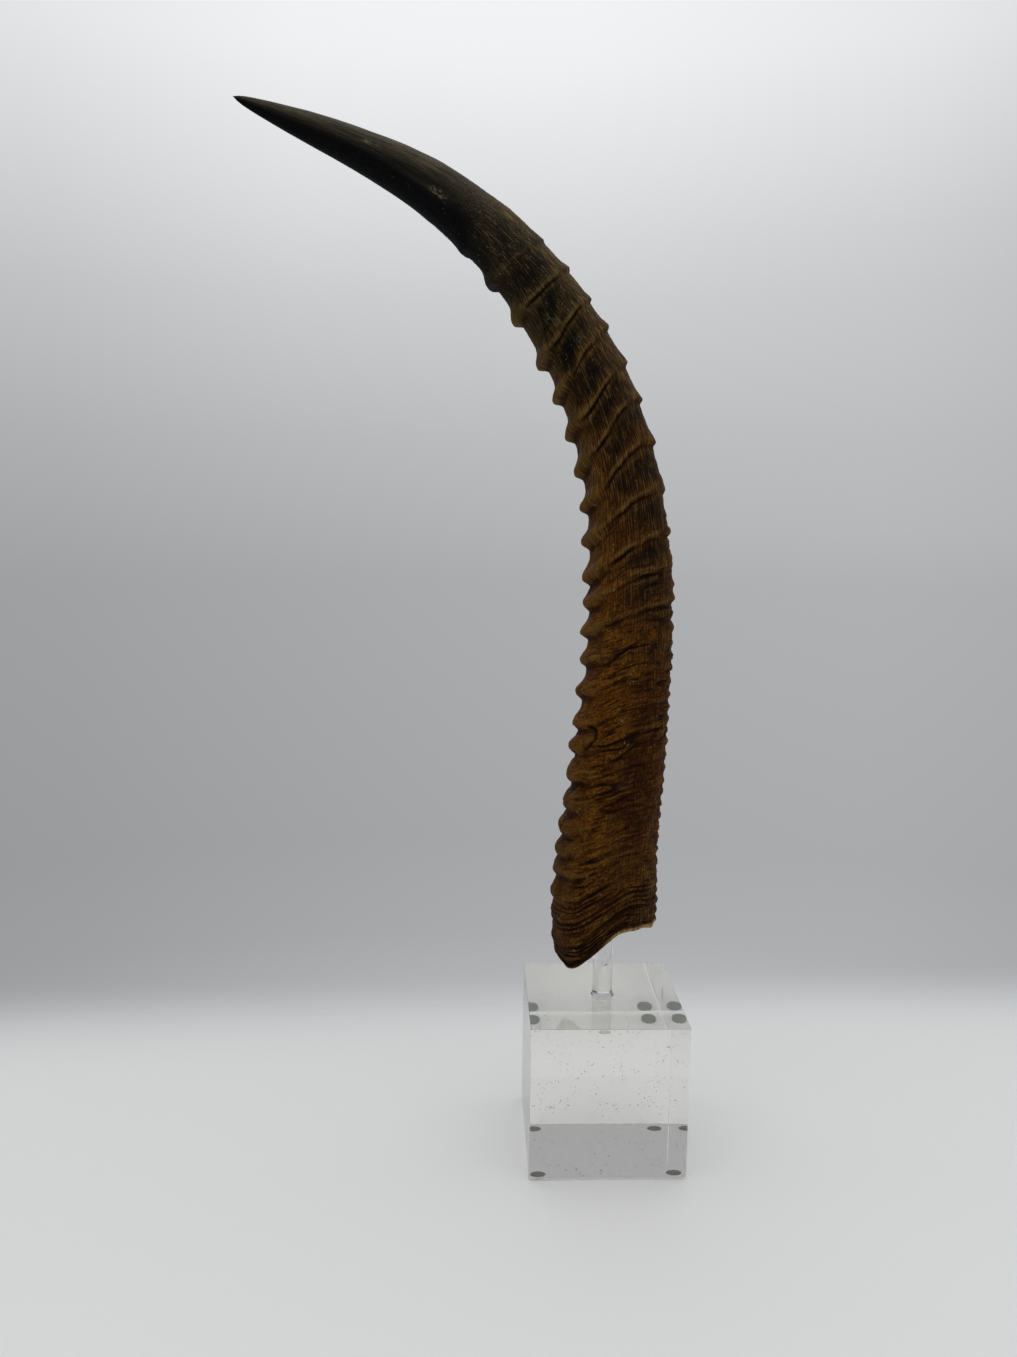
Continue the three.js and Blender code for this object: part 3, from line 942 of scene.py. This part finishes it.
# %% Mix the raw horn and dress the sheath
def raw_horn():
    material, tree = new_material("raw horn of the lip and hollow")
    place = add(tree, "TexCoord").outputs["Object"]
    fibre = streaks(tree, place, (FIBRE * MM, FIBRE * MM, FIBRE_RUN * MM), 3.0, 5)
    stain = streaks(tree, place, [BLOTCH * MM] * 3, 3.0, 9)
    stained = ("#4a3318", "stain", (0.42, 0.62), (0, 1))
    fibrous = ("#2c1a0c", "fibre", (0.5, 0.68), (0, 0.8))
    values = {"stain": stain, "fibre": fibre}
    colour = paint(tree, values, linear("#8a6c45"), [stained, fibrous])
    look = {"Base Color": colour, "Roughness": 0.75, "IOR": HORN_IOR, "Specular IOR Level": 0.1}
    surface(tree, look, fibre, strength=0.6, depth=0.3)
    return material


horn.data.materials.append(raw_horn())
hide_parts("horn")
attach(horn, "root")
print("materials on the horn:", [m.name for m in horn.data.materials])

# %% [markdown]
# ## Acrylic cube
#
# The cube is cast acrylic, sawn, its faces polished and its edges just broken. The rod is stuck in
# a blind hole with a solvent cement, which melts the two into one clear body: inside the cube only
# two traces of the joint show. One is the small chamfer of the hole's mouth, which the cement
# doesn't fill. The other is a film of air under the rod's flat end. So the cube is a box with
# bevelled edges, less a shallow dimple for the rod's foot, less a thin disc deep inside it.


# %% Helpers that turn, cut and soften
EDGE_BREAK = 0.18
ROUND_SEGMENTS = 96
SHARP = 20  # degrees, from which an edge is broken and isn't shaded smooth


def lathed(name, low_radius, high_radius, low, high):
    """A round solid that stands on the rod's axis between two heights."""
    deselect()
    bpy.ops.mesh.primitive_cone_add(
        vertices=ROUND_SEGMENTS,
        radius1=low_radius,
        radius2=high_radius,
        depth=high - low,
        location=(rod_middle.x, rod_middle.y, (low + high) / 2),
    )
    return take(name)


def choose(piece):
    """Makes the piece the one that operators act on."""
    deselect()
    piece.select_set(True)
    bpy.context.view_layer.objects.active = piece


def cut_away(piece, cutter):
    """Subtracts the cutter from the piece and throws it away."""
    choose(piece)
    cut = piece.modifiers.new("cut", "BOOLEAN")
    cut.operation = "DIFFERENCE"
    cut.solver = "EXACT"
    cut.object = cutter
    bpy.ops.object.modifier_apply(modifier=cut.name)
    bpy.data.objects.remove(cutter)


def soften(piece):
    """Bevels the piece's sharp edges and smooths its round faces."""
    choose(piece)
    bevel = piece.modifiers.new("edges", "BEVEL")
    bevel.width = EDGE_BREAK * MM
    bevel.segments = 2
    bevel.limit_method = "ANGLE"
    bevel.angle_limit = math.radians(SHARP)
    bpy.ops.object.modifier_apply(modifier=bevel.name)
    bpy.ops.object.shade_smooth_by_angle(angle=math.radians(SHARP))


# %% Cut the cube
MOUTH_DEPTH = 0.5
MOUTH_CHAMFER = 0.7
MOUTH_PLAY = 1.005  # the width of the dimple's floor, in widths of the rod
FILM_THICKNESS = 0.15
FILM_RAISED = 0.8  # above the hole's floor
FILM_SHARE = 0.65  # of the rod's radius
rod_radius = (rod_high.x - rod_low.x) / 2

deselect()
block_centre = (block_low + block_high) / 2
bpy.ops.mesh.primitive_cube_add(size=BLOCK_SIDE * MM, location=block_centre)
cube = take("clear_cube")
soften(cube)
mouth_floor = block_high.z - MOUTH_DEPTH * MM
mouth_radius = rod_radius + MOUTH_CHAMFER * MM
mouth_slope = (mouth_radius - rod_radius) / (MOUTH_DEPTH * MM)
# the cutter stands 1 mm proud of the cube, so the chamfer's slope goes on that far
wide = mouth_radius + mouth_slope * MM
mouth = lathed("mouth", rod_radius * MOUTH_PLAY, wide, mouth_floor, block_high.z + MM)
cut_away(cube, mouth)
film_radius = rod_radius * FILM_SHARE
film_low = rod_low.z + FILM_RAISED * MM
film_high = film_low + FILM_THICKNESS * MM
cut_away(cube, lathed("film", film_radius, film_radius, film_low, film_high))
bpy.ops.object.shade_smooth_by_angle(angle=math.radians(SHARP))
print("cube:", len(cube.data.polygons), "faces, mouth", round(mouth_radius / MM * 2, 2), "mm wide")

# %% [markdown]
# ## Rod
#
# A length of ten millimetre acrylic rod, its ends cut square and just broken. It stands on the
# dimple's floor, a hair clear of it, so the two clear bodies never share a face.

# %% Cut the rod
HAIR = 0.02

rod = lathed("clear_rod", rod_radius, rod_radius, mouth_floor + HAIR * MM, rod_high.z)
soften(rod)
print("rod:", round(rod.dimensions.z / MM, 1), "mm long above the dimple")

# %% [markdown]
# Acrylic is clear, with an IOR of 1.49 and a faint yellow-green cast where light goes through
# a lot of it. It takes on static dust and fine handling marks, so its gloss is a little uneven
# and small grey specks show on it. Real dust is under half a millimetre, and the specks are drawn
# twice as large so that they show.

# %% Mix the acrylic
SMUDGE = 9
SPECK = 0.9
CLEAR_IOR = 1.49
CAST_DENSITY = 2.6
DIRT = ("#3a3a34", "dust", (0.695, 0.72), (0, 1), "handled")


def acrylic(name):
    material, tree = new_material(name)
    place = add(tree, "TexCoord").outputs["Object"]
    smudge = streaks(tree, place, [SMUDGE * MM] * 3, 3.0, 7)
    dust = streaks(tree, place, [SPECK * MM] * 3, 1.0, 13)
    marks = {"Value": smudge, "From Min": 0.5, "From Max": 0.56}
    values = {"dust": dust, "handled": add(tree, "MapRange", marks)}
    colour = paint(tree, values, linear("#ffffff"), [DIRT])
    dulled = {"Value": smudge, "From Min": 0.5, "From Max": 0.7, "To Max": 0.03}
    look = {"Base Color": colour, "IOR": CLEAR_IOR, "Transmission Weight": 1.0}
    look["Roughness"] = add(tree, "MapRange", dulled)
    cast = {"Color": linear("#f2f4df"), "Density": CAST_DENSITY}
    tint = add(tree, "VolumeAbsorption", cast)
    surface(tree, look, smudge, strength=0.25, depth=0.05, Volume=tint)
    return material


for piece, node in ((cube, "block"), (rod, "rod")):
    piece.data.materials.append(acrylic(node + " cast acrylic"))
    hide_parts(node)
    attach(piece, "root")
print("clear pieces:", cube.name, rod.name)

# %% [markdown]
# ## Felt pads
#
# Four punched discs of grey wool felt are stuck under the corners. Their glue wets the acrylic,
# so they show through the cube, where bare acrylic mirrors the light. Each disc is a cylinder with
# three more rings round its side: its rim is pressed in a little, and its cut edge is ruffled. It
# reaches a hair into the cube's underside, as the glue does.

# %% Punch the pads
PAD_SIDES = 48
PAD_SMOOTH = 60  # degrees, up to which a pad is shaded smooth
GLUE = 0.04
PAD_ROUND = 0.3
RUFFLE = 0.12
RUFFLE_SIZE = 0.7

pads = []
for name in ("pad_front_left", "pad_front_right", "pad_back_left", "pad_back_right"):
    low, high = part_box(name)
    middle = (low + high) / 2
    top = block_low.z + GLUE * MM
    deselect()
    bpy.ops.mesh.primitive_cylinder_add(
        vertices=PAD_SIDES,
        radius=(high.x - low.x) / 2,
        depth=top - low.z,
        end_fill_type="NGON",
        location=(middle.x, middle.y, (low.z + top) / 2),
    )
    pad = take("felt_" + name)
    bpy.ops.object.mode_set(mode="EDIT")
    select_edges(pad, lambda a, b: abs(a.z - b.z) > 0.1 * MM)
    bpy.ops.mesh.subdivide(number_cuts=3)
    bpy.ops.object.mode_set(mode="OBJECT")
    for vertex in pad.data.vertices:
        out = vertex.co - middle
        wander = RUFFLE * noise.noise(vertex.co / (RUFFLE_SIZE * MM))
        at_side = min(vertex.co.z - low.z, top - vertex.co.z) > 0.1 * MM
        pressed = 1 if at_side else 1 - PAD_ROUND * MM / out.length
        moved = pressed * (1 + wander * MM / out.length)
        vertex.co.xy = middle.xy + out.xy * moved
    bpy.ops.object.shade_smooth_by_angle(angle=math.radians(PAD_SMOOTH))
    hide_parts(name)
    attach(pad, "root")
    pads.append(pad)
print("pads:", [pad.name for pad in pads])

# %% [markdown]
# Wool felt is matted fibre with no weave: it has no gloss, a soft bloom at its edges, and its
# fibres lie every way. They are 0.03 mm thick on the real pads and drawn 0.3 mm thick, so that
# they show.

# %% Mix the felt
HAIR_LUMP = 0.3


def felt():
    material, tree = new_material("grey wool felt")
    place = add(tree, "TexCoord").outputs["Object"]
    hairs = streaks(tree, place, [HAIR_LUMP * MM] * 3, 4.0, 2)
    tufts = ("#878c7f", "hairs", (0.35, 0.65), (0, 1))
    colour = paint(tree, {"hairs": hairs}, linear("#656a60"), [tufts])
    look = {"Base Color": colour, "Roughness": 1.0, "Specular IOR Level": 0.2}
    look["Sheen Weight"] = 0.15
    surface(tree, look, hairs, strength=0.8, depth=0.15)
    return material


wool = felt()
for pad in pads:
    pad.data.materials.append(wool)
print("felt on the pads:", wool.name)
